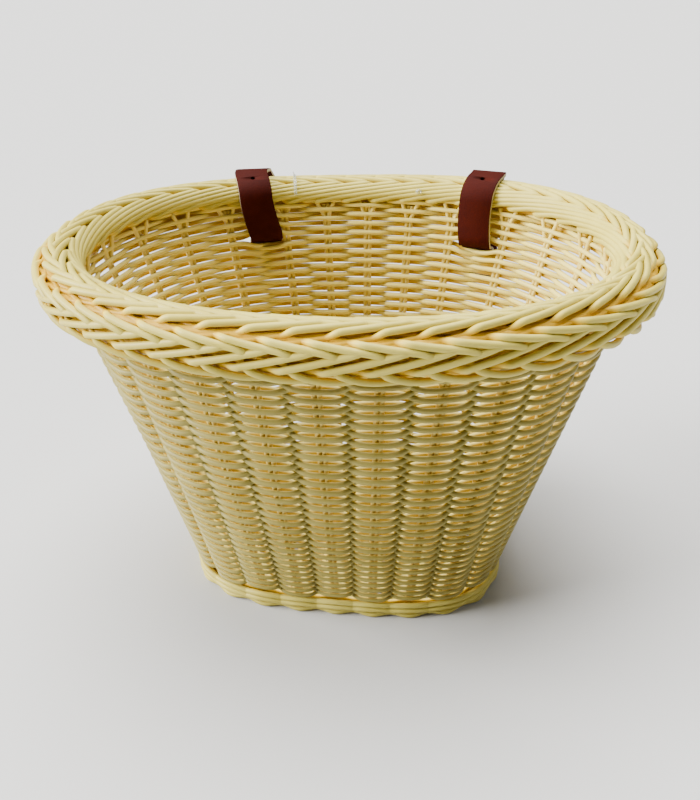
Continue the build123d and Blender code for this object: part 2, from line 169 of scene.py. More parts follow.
class Strands:
    """Round tubes gathered into one mesh. Its painted shading attribute is 1 where painted shade stands for the
    weave's shade on a strand, and about a half where a strand's side is painted as lit.
    """

    def __init__(self, name):
        self.name = name
        self.points = []
        self.painted_shading = []
        self.faces = []
        self.count = 0

    def add(self, path, outwards, radius, painted_shading, sides=10, closed=True):
        """The shading function gives this painted light and shade, from how far each side of the strand faces
        outwards.
        """
        if closed:
            along = unit(np.roll(path, -1, 0) - np.roll(path, 1, 0))
        else:
            along = unit(np.gradient(path, axis=0))
        normal = unit(outwards - along * (outwards * along).sum(-1, keepdims=True))
        across = np.cross(along, normal)
        angle = np.arange(sides) * 2 * math.pi / sides
        radius = np.broadcast_to(radius, len(path))
        ring = normal[:, None] * np.cos(angle)[:, None] + across[:, None] * np.sin(angle)[:, None]
        tube = path[:, None] + ring * radius[:, None, None]
        shade = np.broadcast_to(painted_shading(np.broadcast_to(np.cos(angle), tube.shape[:2])), tube.shape[:2])
        index = np.arange(len(path) * sides).reshape(len(path), sides) + self.count
        after = np.roll(index, -1, 0)
        rows = slice(None) if closed else slice(0, -1)
        corners = (index, np.roll(index, -1, 1), np.roll(after, -1, 1), after)
        self.faces.append(np.stack([c[rows] for c in corners], -1).reshape(-1, 4))
        self.points.append(tube.reshape(-1, 3))
        self.painted_shading.append(shade.reshape(-1))
        self.count += tube.shape[0] * sides
        if not closed:
            for end, step in ((0, -1), (-1, 1)):
                tip = path[end] + along[end] * step * radius[end] * 0.5
                self.cap(tip, index[end], step, shade[end].mean())

    def cap(self, tip, ring, step, shade):
        """Closes a strand's end with a flat cone. step is 1 at the far end and -1 at the near one."""
        fan = np.stack([ring, np.roll(ring, -step), np.full(len(ring), self.count)], -1)
        self.faces.append(np.concatenate([fan, fan[:, 2:]], -1))
        self.points.append(tip[None])
        self.painted_shading.append(np.array([shade]))
        self.count += 1

    def build(self, material):
        faces = [face[:3] if face[2] == face[3] else face for face in np.concatenate(self.faces).tolist()]
        mesh = bpy.data.meshes.new(self.name)
        mesh.from_pydata((np.concatenate(self.points) * MM).tolist(), [], faces)
        painted_shading = mesh.attributes.new("painted_shading", "FLOAT", "POINT")
        painted_shading.data.foreach_set("value", np.concatenate(self.painted_shading).astype(np.float32))
        return finish_piece(self.name, mesh, material)


def finish_piece(name, mesh, material, body="root"):
    mesh.validate()
    mesh.polygons.foreach_set("use_smooth", [True] * len(mesh.polygons))
    mesh.materials.append(material)
    piece = bpy.data.objects.new(name, mesh)
    bpy.context.scene.collection.objects.link(piece)
    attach(piece, body)
    return piece


# --- Materials ---------------------------------------------------------------------------------------------


class Nodes:
    """A material's node tree, with short calls to add and join nodes."""

    def __init__(self, name):
        self.material = bpy.data.materials.new(name)
        self.material.use_nodes = True
        self.tree = self.material.node_tree
        self.shader = self.tree.nodes["Principled BSDF"]

    def add(self, kind, links=(), **values):
        node = self.tree.nodes.new("ShaderNode" + kind)
        for key, value in values.items():
            setattr(node, key, value)
        for socket, value in dict(links).items():
            self.put(node, socket, value)
        return node

    def put(self, node, socket, value):
        target = node.inputs[socket]
        if isinstance(value, bpy.types.NodeSocket):
            self.tree.links.new(value, target)
        else:
            target.default_value = value

    def set(self, **values):
        for key, value in values.items():
            self.put(self.shader, key.replace("_", " "), value)

    def place(self, scale):
        coordinates = self.add("TexCoord")
        return self.add("Mapping", {"Vector": coordinates.outputs["Object"], "Scale": scale}).outputs[0]

    def noise(self, scale, detail=4.0, stretch=(1, 1, 1)):
        links = {"Vector": self.place(stretch), "Scale": scale, "Detail": detail}
        return self.add("TexNoise", links).outputs["Fac"]

    def ramp(self, value, *stops):
        node = self.add("ValToRGB", {"Fac": value})
        while len(node.color_ramp.elements) < len(stops):
            node.color_ramp.elements.new(0.5)
        for element, (position, colour) in zip(node.color_ramp.elements, stops):
            element.position = position
            element.color = (*colour, 1)
        return node.outputs["Color"]

    def mix(self, factor, one, two, blend="MIX"):
        node = self.add("Mix", data_type="RGBA", blend_type=blend)
        for socket, value in ((0, factor), (6, one), (7, two)):
            if isinstance(value, tuple):
                value = (*value, 1)
            self.put(node, socket, value)
        return node.outputs[2]

    def range(self, value, low, high):
        return self.add("MapRange", {"Value": value, "To Min": low, "To Max": high}).outputs[0]

    def bump(self, height, strength, distance):
        links = {"Height": height, "Strength": strength, "Distance": distance}
        return self.add("Bump", links).outputs[0]


def strand_material(name, bright, warm, inner, painted_shade):
    """Satin cream plastic with faint streaks. At a half of the painted shading, the inner colour paints a lit
    inner side; at all of it, a golden painted shade.
    """
    nodes = Nodes(name)
    cloud = nodes.noise(38.0, 3.0)
    surface = nodes.ramp(cloud, (0.34, warm), (0.66, bright))
    # Up to a half, the shading attribute blends towards the inner colour, painted light; above a half, towards the
    # golden painted shade.
    painted_shading = nodes.add("Attribute", attribute_name="painted_shading").outputs["Fac"]
    half = nodes.add("MapRange", {"Value": painted_shading, "From Min": 0.0, "From Max": 0.5}).outputs[0]
    rest = nodes.add("MapRange", {"Value": painted_shading, "From Min": 0.5, "From Max": 1.0}).outputs[0]
    colour = nodes.mix(rest, nodes.mix(half, surface, inner), painted_shade)
    fine = nodes.noise(900.0, 3.0)
    streak = nodes.noise(260.0, 2.0, (1, 1, 3))
    both = nodes.add("Math", {0: fine, 1: streak}, operation="ADD").outputs[0]
    nodes.set(Base_Color=colour, Roughness=nodes.range(cloud, 0.40, 0.54))
    nodes.set(Normal=nodes.bump(both, 0.12, 0.0004))
    nodes.shader.inputs["Specular IOR Level"].default_value = 0.26
    return nodes.material


# The wall and base copy of the cream plastic is painted darker than the rim's, as painted shade for the wall's
# shaded outside, and its inner colour is painted light.
SHADE_DARKENED_CREAM = strand_material(
    "shade_darkened_cream_strand", bright=(0.30, 0.25, 0.058), warm=(0.25, 0.205, 0.040),
    inner=(0.74, 0.60, 0.14), painted_shade=(0.62, 0.38, 0.010),
)
RIM_CREAM = strand_material(
    "rim_strand", bright=(0.56, 0.47, 0.095), warm=(0.49, 0.40, 0.065),
    inner=(0.70, 0.50, 0.05), painted_shade=(0.55, 0.32, 0.003),
)
# The stakes' copy of the cream plastic is painted brighter than the wall's, as painted light on stakes that lie in
# the weave's shade.
STAKE_CREAM = strand_material(
    "stake_strand", bright=(0.80, 0.64, 0.18), warm=(0.74, 0.57, 0.13),
    inner=(0.80, 0.60, 0.12), painted_shade=(0.70, 0.50, 0.06),
)


def leather_material(name):
    nodes = Nodes(name)
    patch = nodes.noise(55.0, 5.0)
    colour = nodes.ramp(patch, (0.30, (0.027, 0.0013, 0.0001)), (0.70, (0.040, 0.0030, 0.0002)))
    grain = nodes.add("TexVoronoi", {"Vector": nodes.place((1, 1, 1)), "Scale": 1500.0}).outputs["Distance"]
    crease = nodes.noise(420.0, 6.0)
    both = nodes.add("Math", {0: grain, 1: crease}, operation="ADD").outputs[0]
    nodes.set(Base_Color=colour, Roughness=nodes.range(patch, 0.66, 0.80))
    nodes.set(Normal=nodes.bump(both, 0.22, 0.0005))
    nodes.shader.inputs["Specular IOR Level"].default_value = 0.07
    return nodes.material


def raw_edge_material(name):
    nodes = Nodes(name)
    fibre = nodes.noise(1300.0, 5.0)
    layer = nodes.noise(260.0, 3.0)
    colour = nodes.mix(nodes.range(layer, 0.1, 0.8), (0.42, 0.34, 0.19), (0.24, 0.17, 0.09))
    colour = nodes.mix(fibre, colour, (0.50, 0.43, 0.28))
    nodes.set(Base_Color=colour, Roughness=nodes.range(fibre, 0.7, 0.9))
    nodes.set(Normal=nodes.bump(fibre, 0.35, 0.0004))
    return nodes.material


def brass_material(name):
    nodes = Nodes(name)
    wear = nodes.noise(240.0, 5.0)
    colour = nodes.ramp(wear, (0.36, (0.40, 0.28, 0.12)), (0.64, (0.66, 0.52, 0.28)))
    nodes.set(Base_Color=colour, Metallic=1.0, Roughness=nodes.range(wear, 0.22, 0.42))
    nodes.set(Normal=nodes.bump(nodes.noise(1600.0, 3.0), 0.08, 0.0003))
    return nodes.material


def nylon_material(name):
    nodes = Nodes(name)
    cloud = nodes.noise(500.0, 2.0)
    nodes.set(Base_Color=nodes.mix(cloud, (0.62, 0.66, 0.64), (0.52, 0.56, 0.55)))
    nodes.set(Roughness=nodes.range(cloud, 0.12, 0.28), Alpha=0.5)
    nodes.shader.inputs["Transmission Weight"].default_value = 0.5
    return nodes.material


LEATHER = leather_material("strap_leather")
RAW_EDGE = raw_edge_material("strap_raw_edge")
BRASS = brass_material("antique_brass")
NYLON = nylon_material("clear_nylon")

# --- Wall weave --------------------------------------------------------------------------------------------

STRAND_SHARE = 0.505
WEAVE_REACH = 3.05
# Strands hang a little lower where they pass outside a stake than where they pass inside one.
WEAVE_SAG = 1.0
WEAVE_SQUARENESS = 1.7
SAMPLES = 16
ROWS_PER_PIECE = 22
FIRST_ROW = 14.2
TOP_ROW = 201.0
# Rows drift up and down together round the basket, and each is a little off its place.
ROW_DRIFT = 0.35
ROW_NOISE = 0.12
SLOT_HALF_WIDTH = STRAP_WIDTH * 0.62
SLOT_PUSH = 3.3
SLOT_FADE = 9.0
# How much of the painted shading each wall strand's inner side gets: painted light, the lit inner colour.
INNER_PAINTED_LIGHT = 0.5
# Spacing of the rows at some heights: packed at the foot, loosest in the upper half.
ROW_PITCH = ((11, 2.42), (34, 2.48), (60, 2.85), (80, 3.05), (125, 3.36), (160, 3.22), (198, 3.0))


def row_heights():
    heights = [FIRST_ROW]
    while heights[-1] < TOP_ROW:
        heights.append(heights[-1] + np.interp(heights[-1], *zip(*ROW_PITCH)))
    return heights


def slot_push(share, height):
    """How far a row moves up or down to let the straps through."""
    push = np.zeros_like(share)
    for middle in (STRAP_PITCHES / STAKE_PAIRS, 1 - STRAP_PITCHES / STAKE_PAIRS):
        across = ((share - middle) * TOP.length - STRAP_LEAN) / SLOT_HALF_WIDTH
        push += np.exp(-across ** 4)
    away = height - SLOT_HEIGHT - SLOT_LIFT
    return push * math.copysign(SLOT_PUSH, away) * math.exp(-abs(away) / SLOT_FADE)


def weave_shade(bow, facing):
    """Full painted shade where a strand faces the wall's middle, and at least the inner value on its whole inner
    side, which paints that side lit.
    """
    hidden = np.clip(-1.25 * bow[:, None] * facing, 0, 1)
    return np.maximum(hidden, INNER_PAINTED_LIGHT * smooth_step(0.5 - 1.5 * facing))


def build_wall():
    share = np.arange(STAKE_PAIRS * SAMPLES) / (STAKE_PAIRS * SAMPLES)
    phase = stake_phase(share)
    heights = row_heights()
    row_noise = ROW_NOISE * rng.standard_normal(len(heights))
    for first in range(0, len(heights), ROWS_PER_PIECE):
        piece = Strands(f"wall_rows_{first // ROWS_PER_PIECE + 1}")
        for row in range(first, min(first + ROWS_PER_PIECE, len(heights))):
            wave = np.cos(math.pi * (phase + row))
            bow = np.tanh(WEAVE_SQUARENESS * wave) / math.tanh(WEAVE_SQUARENESS)
            drift = ROW_DRIFT * np.sin(2 * math.pi * (3 * share + heights[row] / 150)) + row_noise[row]
            height = heights[row] + drift - WEAVE_SAG * bow + slot_push(share, heights[row])
            path, outwards = wall_at(share, height, WEAVE_REACH * bow)
            size = STRAND_SHARE * np.interp(heights[row], *zip(*ROW_PITCH))
            piece.add(path, outwards, size, lambda facing: weave_shade(bow, facing))
        weave = piece.build(SHADE_DARKENED_CREAM)
        if first == 0:
            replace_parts(weave, "wall_weave")


# --- Plaited rim -------------------------------------------------------------------------------------------

RIM_PITCHES = 44
PLAIT_PERIOD = 22
RIM_STRAND = 1.85
RIM_SAMPLES = 12
SMOOTHING = 9
# How far round the rim's section a strand is, in degrees, after how many pitches along it.
ZIGZAG = (
    (192, 0.0), (120, 2.0), (86, 3.75), (30, 5.1), (-3, 6.6), (-33, 7.6), (-98, 9.25),
    (-33, 10.4), (-1, 12.1), (56, 13.5), (90, 15.25), (120, 16.75), (192, 22.0),
)
# Where a strand lies on top of the others, in pitches along the zigzag.
ON_TOP = ((2.0, 3.9), (5.1, 6.85), (7.6, 9.25), (10.3, 12.35), (13.6, 15.45), (16.9, 21.9))
LOWER_HALF_HEIGHT = 20.0
# The border stands further out under its middle, where it meets the wall.
SKIRT_OUT = 3.5
# Half the length, in pitches, over which a strand dives under the others, and how deep it goes.
DIVE = 0.2
UNDER_INSET = 4.2
CORE_STRANDS = 6
CORE_STRAND = 3.2
CORE_INSET = 7.4
# Degrees for each pitch, a whole turn round the rim.
CORE_TWIST = 360 / RIM_PITCHES
TIP_START = 189.0
TIP_END = 205.0
TIP_OFFSET = -1.0
TIP_INSIDE = 10.5
TIP_HALF_GAP = 1.3
TIP_SPREAD = 4.5
TIP_RADIUS = 1.35
# The back of the rim sags, most a little to the left of its middle.
BACK_DIP = 6.3
DIP_MIDDLE = -30.0
DIP_SPREAD = 120.0


def rim_section(angle, inset):
    """Outward and upward distances from the rim's middle, inset below the surface."""
    turn = np.radians(angle)
    tall = np.where(np.sin(turn) > 0, RIM_HALF_HEIGHT, LOWER_HALF_HEIGHT)
    skirt = SKIRT_OUT * smooth_step(-np.sin(turn)) * (np.cos(turn) > -0.3)
    return (RIM_HALF_WIDTH - inset) * np.cos(turn) + skirt, (tall - inset) * np.sin(turn)


def back_dip(x, outward_y):
    """How far the rim sags: nothing on its front half."""
    return BACK_DIP * np.exp(-((x - DIP_MIDDLE) / DIP_SPREAD) ** 2) * smooth_step(outward_y)


def rim_path(pitches, angle, inset):
    """Points on the rim, and vectors away from its middle. Seen from outside, pitches run to the right."""
    flat, outwards = RIM.at(-pitches / RIM_PITCHES)
    out, up = rim_section(angle, inset)
    height = RIM_MIDDLE + up - back_dip(flat[:, 0], outwards[:, 1])
    path = np.concatenate([flat + outwards * out[:, None], height[:, None]], -1)
    turn = np.radians(angle)
    away = np.concatenate([outwards * np.cos(turn)[:, None], np.sin(turn)[:, None]], -1)
    return path, away


def plait_angle(along):
    """The zigzag with its corners rounded off."""
    angles, reached = zip(*ZIGZAG)
    angle = np.interp(along, reached, angles)
    kernel = np.hanning(SMOOTHING) / np.hanning(SMOOTHING).sum()
    spare = SMOOTHING // 2
    return np.convolve(np.concatenate([angle[-spare:], angle, angle[:spare]]), kernel, "valid")


def plait_on_top(along):
    """1 where a strand lies on the others and 0 where it runs under them."""
    on_top = np.zeros_like(along)
    for start, end in ON_TOP:
        rise = smooth_step((along - start + DIVE) / (2 * DIVE))
        fall = smooth_step((end + DIVE - along) / (2 * DIVE))
        on_top = np.maximum(on_top, rise * fall)
    return on_top


def plait_shade(on_top, facing):
    return np.clip((1 - on_top)[:, None] * 1.1 + np.clip(-facing - 0.15, 0, 1), 0, 1)


def build_plait(name, strands):
    piece = Strands(name)
    pitches = np.arange(RIM_PITCHES * RIM_SAMPLES) / RIM_SAMPLES
    for strand in strands:
        along = (pitches + strand) % PLAIT_PERIOD
        on_top = plait_on_top(along)
        path, away = rim_path(pitches, plait_angle(along), RIM_STRAND + (1 - on_top) * UNDER_INSET)
        size = RIM_STRAND * (1 + 0.02 * rng.standard_normal())
        piece.add(path, away, size, lambda facing: plait_shade(on_top, facing))
    return piece.build(RIM_CREAM)


def build_rim():
    half = PLAIT_PERIOD // 2
    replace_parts(build_plait("rim_plait_1", range(half)), "rim_braid")
    build_plait("rim_plait_2", range(half, PLAIT_PERIOD))
    core = Strands("rim_core")
    pitches = np.arange(RIM_PITCHES * RIM_SAMPLES) / RIM_SAMPLES
    for strand in range(CORE_STRANDS):
        path, away = rim_path(pitches, strand * 360 / CORE_STRANDS + pitches * CORE_TWIST, CORE_INSET)
        # The core strands are painted almost wholly in the golden painted shade.
        core.add(path, away, CORE_STRAND, lambda facing: np.full_like(facing, 0.95), 8)
    core.build(RIM_CREAM)


def build_stake_tips():
    """The ends of each stake pair, spread apart and leaning in to the border's inner side."""
    piece = Strands("stake_tips")
    rise = np.linspace(0, 1, 8)
    for share in STAKES[:-1]:
        for side in (-1, 1):
            start, outwards = wall_at(np.array([share]), np.array([TIP_START]), np.array([TIP_OFFSET]))
            flat, rim_out = RIM.at(share)
            along = np.array([outwards[0, 1], -outwards[0, 0], 0.0]) * side
            end = lift(flat - rim_out * TIP_INSIDE, TIP_END - back_dip(flat[0], rim_out[1]))
            path = start + along * TIP_HALF_GAP + (end - start[0] + along * TIP_SPREAD) * rise[:, None]
            away = np.tile(outwards, (len(rise), 1))
            piece.add(path, away, TIP_RADIUS, np.zeros_like, 8, closed=False)
    piece.build(STAKE_CREAM)


# --- Foot and base -----------------------------------------------------------------------------------------

# Each foot strand's height, its rise with the wave, its distance out, and its swing out with the wave.
UPPER_PAIR = (8.7, 1.0, 2.7, 1.0)
LOWER_PAIR = (5.2, -0.8, 3.0, -0.9)
FOOT_EDGE = (2.2, -0.5, 2.6, 0.9)
FOOT_INSIDE = ((3.1, 0.5, -2.9, -0.4), (7.2, 0.5, -3.2, -0.4))
FOOT_STRAND = 1.7
FOOT_EDGE_STRAND = 1.65
FOOT_INSIDE_STRAND = 1.6
FOOT_SHADE = 0.9
BASE_MIDDLE = 5.2
BASE_PITCH = 2.9
BASE_STAKE_PITCH = 15.0
BASE_STAKE_HALF_GAP = 1.4
BASE_RADIUS = 1.3
BASE_REACH = 2.0
BASE_SQUARENESS = 1.4
BASE_INSET = FOOT_HALF_WIDTH - 1.0


def foot_path(share, wave, course):
    height, rise, out, swing = course
    flat, outwards = FOOT.at(share)
    around = flat + outwards * (out + swing * wave)[:, None]
    path = np.concatenate([around, (height + rise * wave)[:, None]], -1)
    return path, np.pad(outwards, [(0, 0), (0, 1)])


def build_foot():
    """Two pairs of strands that cross between the stakes, over a lower one that bulges at each stake."""
    share = np.arange(STAKE_PAIRS * SAMPLES) / (STAKE_PAIRS * SAMPLES)
    phase = stake_phase(share)
    piece = Strands("foot_strands")
    for side in (0, 1):
        wave = np.cos(math.pi * (phase + side))
        hidden = FOOT_SHADE * wave[:, None]
        path, outwards = foot_path(share, wave, UPPER_PAIR)
        piece.add(path, outwards, FOOT_STRAND, lambda facing: np.clip(-hidden * facing, 0, 1))
        path, outwards = foot_path(share, wave, LOWER_PAIR)
        piece.add(path, outwards, FOOT_STRAND, lambda facing: np.clip(hidden * facing, 0, 1))
    bulge = np.cos(2 * math.pi * phase)
    path, outwards = foot_path(share, bulge, FOOT_EDGE)
    piece.add(path, outwards, FOOT_EDGE_STRAND, lambda facing: np.clip(-facing, 0, 1))
    # The inner courses get painted shade on their sides that face outwards, towards the other foot strands.
    for course in FOOT_INSIDE:
        path, outwards = foot_path(share, bulge, course)
        piece.add(path, outwards, FOOT_INSIDE_STRAND, lambda facing: np.clip(facing + 0.3, 0, 1))
    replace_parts(piece.build(RIM_CREAM), "foot_border")


def chord(axis, place, inset):
    """The two ends of a straight line across the foot's plan, at a place on one axis."""
    points, outwards = FOOT.at(np.linspace(0, 1, 1440, endpoint=False))
    inside = points - outwards * inset
    near = inside[np.abs(inside[:, axis] - place) < 1.6][:, 1 - axis]
    return near.min(), near.max()


def build_base():
    piece = Strands("base_rows")
    low, high = FOOT.y.min() + FOOT_HALF_WIDTH, FOOT.y.max() - FOOT_HALF_WIDTH
    rows = int((high - low) / BASE_PITCH)
    for row in range(rows):
        y = low + (row + 0.5) * (high - low) / rows
        start, end = chord(1, y, BASE_INSET)
        x = np.linspace(start, end, max(8, int((end - start) / 1.9)))
        wave = np.cos(math.pi * (x / BASE_STAKE_PITCH + row))
        height = BASE_MIDDLE + BASE_REACH * np.tanh(BASE_SQUARENESS * wave)
        path = np.stack([x, np.full_like(x, y), height], -1)
        up = np.broadcast_to(UP, path.shape)
        hidden = wave[:, None]
        piece.add(path, up, BASE_RADIUS, lambda facing: np.clip(-hidden * facing, 0, 1), 8, closed=False)
    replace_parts(piece.build(SHADE_DARKENED_CREAM), "base_weave")
    stakes = Strands("base_stakes")
    reach = int(FOOT.x.max() / BASE_STAKE_PITCH)
    for step in range(-reach, reach + 1):
        for side in (-BASE_STAKE_HALF_GAP, BASE_STAKE_HALF_GAP):
            x = step * BASE_STAKE_PITCH + side
            y = np.linspace(*chord(0, x, BASE_INSET), 24)
            path = np.stack([np.full_like(y, x), y, np.full_like(y, BASE_MIDDLE)], -1)
            up = np.broadcast_to(UP, path.shape)
            # Base stakes get half of the painted shading everywhere: the stake plastic's inner colour, painted
            # light.
            stakes.add(path, up, BASE_RADIUS, lambda facing: np.full_like(facing, 0.5), 8, closed=False)
    stakes.build(STAKE_CREAM)


# --- Straps ------------------------------------------------------------------------------------------------

RECORD = frame["record"]
JOINTS = {joint["name"]: joint for joint in frame["joints"]}
MOUNTS = {mount["name"]: mount for mount in RECORD["mounts"]}
HALF_STRAP = STRAP_THICKNESS / 2
LAYER_STEP = STRAP_THICKNESS + STRAP_GAP
HEEL = np.array(JOINTS["buckle_frame_tilt_right"]["pos_m"]) / MM
LEG_DOWN = np.array(JOINTS["keeper_slide_right"]["axis"], float)
LEG_OUT = np.array([0.0, -LEG_DOWN[2], LEG_DOWN[1]])
WIRE_RADIUS = 1.4
PIVOT_CLEARANCE = 0.05
INNER_LAYER = -LAYER_STEP
INNER_FACE = INNER_LAYER - HALF_STRAP
HEEL_OUT = INNER_LAYER + HALF_STRAP - FOLD_THICKNESS - WIRE_RADIUS - PIVOT_CLEARANCE
LEG_TOP = HEEL - LEG_DOWN * HEEL_AT - LEG_OUT * HEEL_OUT
BAR = np.array(MOUNTS["bar_clamp_right"]["pos_m"]) / MM
STRAP_SHARE = STRAP_PITCHES / STAKE_PAIRS
# How steeply the strap dives as it passes out through the weave, in degrees.
THROUGH_DROP = 42
ARC_RADIUS = BAR_RADIUS + HALF_STRAP
EDGE_ROUND = 0.45
PUNCH_SIDES = 24
RIM_HOLE_AT = 112
RIM_HOLE_RADIUS = 1.7
RIM_HOLE_DEPTH = 3.0
HOLE_RADIUS = 2.0
HOLE_DEPTH = 1.55
# Distances down the leg from the buckle's heel bar.
PRONG_SLOT = (-4.5, 1.3)
ADJUSTING_HOLES = (-17, 14, 28)
OVER_WIDTH = RIM_HALF_WIDTH + HALF_STRAP + OVER_RIM_GAP
OVER_HEIGHT = RIM_HALF_HEIGHT + HALF_STRAP + OVER_TOP_GAP


RIM_AT_STRAP, RIM_OUT = (lift(v) for v in RIM.at(STRAP_SHARE))
TURNED = np.array([RIM_OUT[1], -RIM_OUT[0], 0.0])
EDGE_REACH = STRAP_WIDTH / 2 * RIM_OUT[0] / RIM_OUT[1]
SLOT_MIDDLE, SLOT_OUT = (v[0] for v in wall_at(np.array([STRAP_SHARE]), np.array([SLOT_HEIGHT + SLOT_LIFT])))


def leg_point(down, out):
    return LEG_TOP + LEG_DOWN * down + LEG_OUT * out


def over_rim_point(angle, start, dip):
    """The strap's middle over the sagging rim, turning from square to the bar to square to the rim."""
    share = min(1.0, (angle - start) / (90 - start))
    width = unit(ACROSS + (TURNED - ACROSS) * share)
    outwards = np.cross(UP, width)
    turn = math.radians(angle)
    middle = RIM_AT_STRAP + outwards * (OVER_WIDTH * math.cos(turn))
    height = RIM_MIDDLE - dip * share + OVER_HEIGHT * math.sin(turn)
    middle = middle + np.array([0, EDGE_REACH * (1 - share), height])
    return middle, width


# Where the strap leaves the leg and lies inside the rim, in degrees round the rim's section.
OVER_START = 20.0
OVER_END = 176.0
INSIDE_GAP = 0.6
INSIDE_BEND_UP = 5.0


def bar_point(turn):
    return BAR + np.array([0, math.cos(turn), math.sin(turn)]) * ARC_RADIUS


def strap_route(dip, lean):
    """The strap's middle line, width directions and thicknesses, from the tail's tip to the fold's end."""
    route = []

    def put(point, width=ACROSS, thick=STRAP_THICKNESS):
        route.append((np.asarray(point, float), np.asarray(width, float), thick))

    leg_length = float(np.dot(BAR - LEG_TOP, LEG_DOWN))
    tail = leg_length + 2.0
    for step in range(12, 0, -1):
        turn = math.radians(TAIL_BEND_ANGLE * step / 12)
        put(leg_point(tail + TAIL_BEND_RADIUS * math.sin(turn), TAIL_BEND_RADIUS * (math.cos(turn) - 1)))
    for down in np.linspace(tail, 4.0, 28):
        put(leg_point(down, 0))
    rise = LEG_TOP - np.array([0, RIM_AT_STRAP[1] + EDGE_REACH, RIM_MIDDLE])
    start = math.degrees(math.atan2(rise[2], rise[1]))
    for angle in np.linspace(max(start, OVER_START) + 8, OVER_END, 26):
        put(*over_rim_point(angle, start, dip))
    inside = route[-1][0]
    foot = SLOT_MIDDLE - SLOT_OUT * (WALL_HALF + HALF_STRAP + INSIDE_GAP) + UP * INSIDE_BEND_UP
    for share in np.linspace(0.15, 0.95, 9):
        put(inside + (foot - inside) * share + TURNED * lean * share ** 2, TURNED)
    foot = foot + TURNED * lean
    drop = math.radians(THROUGH_DROP)
    through = SLOT_OUT * math.cos(drop) - UP * math.sin(drop)
    slot_along = np.array([SLOT_OUT[1], -SLOT_OUT[0], 0.0])
    middle = SLOT_MIDDLE + slot_along * lean
    put(foot + SLOT_OUT * 1.4 - UP * 2.8, slot_along)
    for distance in (-1.8, 2.0, 6.0):
        put(middle + through * distance, slot_along)
    leave = middle + through * 9.0 - slot_along * lean * 0.5
    reach, climb = BAR[1] - leave[1], BAR[2] - leave[2]
    exit_turn = math.atan2(climb, reach) - math.asin(ARC_RADIUS / math.hypot(reach, climb))
    arc_start = exit_turn - math.pi / 2
    arc_end = math.atan2(LEG_OUT[2], LEG_OUT[1])
    put(leave + (bar_point(arc_start) - leave) * 0.45, unit(slot_along + ACROSS))
    for turn in np.linspace(arc_start, arc_end, 26):
        put(bar_point(turn))
    for down in np.linspace(leg_length - 2, HEEL_AT + 6, 8):
        put(leg_point(down, INNER_LAYER))
    fold = WIRE_RADIUS + PIVOT_CLEARANCE + FOLD_THICKNESS / 2
    for turn in np.linspace(90, 290, 18):
        angle = math.radians(turn)
        point = leg_point(HEEL_AT + fold * math.cos(angle), HEEL_OUT + fold * math.sin(angle))
        put(point, thick=FOLD_THICKNESS)
    for down in np.linspace(HEEL_AT + 4.5, FOLD_END, 6):
        put(leg_point(down, INNER_FACE - FOLD_THICKNESS / 2), thick=FOLD_THICKNESS)
    return route


def strap_mesh(name, side):
    """A strip with worn, rounded edges. side is 1 for the right strap and -1 for its mirror image."""
    route = strap_route(back_dip(side * RIM_AT_STRAP[0], RIM_OUT[1]), side * STRAP_LEAN)
    middle = np.array([p for p, _, _ in route])
    width = unit(np.array([w for _, w, _ in route]))
    thick = np.array([t for _, _, t in route])
    along = unit(np.gradient(middle, axis=0))
    width = unit(width - along * (width * along).sum(-1, keepdims=True))
    normal = np.cross(along, width)
    half_width = STRAP_WIDTH / 2
    corner = ((1, 0), (0.7, 0.7), (0, 1))
    outline = []
    for sx, sy in ((1, 1), (-1, 1), (-1, -1), (1, -1)):
        for cx, cy in corner if sx * sy > 0 else corner[::-1]:
            outline.append((sx, sx * (cx - 1) * EDGE_ROUND, sy, sy * (cy - 1) * EDGE_ROUND))
    points = []
    for sx, dx, sy, dy in outline:
        flat = (sx * half_width + dx) * width
        points.append(middle + flat + (sy * thick[:, None] / 2 + dy) * normal)
    points = np.stack(points, 1)
    count, sides = points.shape[:2]
    points = points.reshape(-1, 3) * [side, 1, 1] * MM
    faces = []
    edges = []
    for row in range(count - 1):
        for column in range(sides):
            after = (column + 1) % sides
            near, far = row * sides, (row + 1) * sides
            face = [near + column, near + after, far + after, far + column]
            faces.append(face[::-1] if side < 0 else face)
            one, two = outline[column], outline[after]
            edges.append(int(one[0] == two[0] and one[2] != two[2]))
    for start in (0, (count - 1) * sides):
        faces.append(list(range(start, start + sides)))
        edges.append(1)
    mesh = bpy.data.meshes.new(name)
    mesh.from_pydata(points.tolist(), [], faces)
    mesh.update()
    return mesh, edges


def cutter(points, axis, radius, depth, side):
    """A round or oblong punch: a prism round one or two points, along an axis."""
    axis = unit(np.asarray(axis, float))
    first = unit(np.cross(axis, ACROSS))
    second = np.cross(axis, first)
    outline = []
    for turn in np.arange(PUNCH_SIDES) * 2 * math.pi / PUNCH_SIDES:
        base = points[0] if math.cos(turn) >= 0 else points[-1]
        outline.append(base + radius * (math.cos(turn) * first + math.sin(turn) * second))
    ends = [(p + axis * d) * [side, 1, 1] * MM for d in (-depth, depth) for p in outline]
    faces = [list(range(PUNCH_SIDES))[::-1], list(range(PUNCH_SIDES, 2 * PUNCH_SIDES))]
    for i in range(PUNCH_SIDES):
        after = (i + 1) % PUNCH_SIDES
        faces.append([i, after, PUNCH_SIDES + after, PUNCH_SIDES + i])
    if side < 0:
        faces = [face[::-1] for face in faces]
    mesh = bpy.data.meshes.new("punch")
    mesh.from_pydata([tuple(p) for p in ends], [], faces)
    punch = bpy.data.objects.new("punch", mesh)
    bpy.context.scene.collection.objects.link(punch)
    return punch


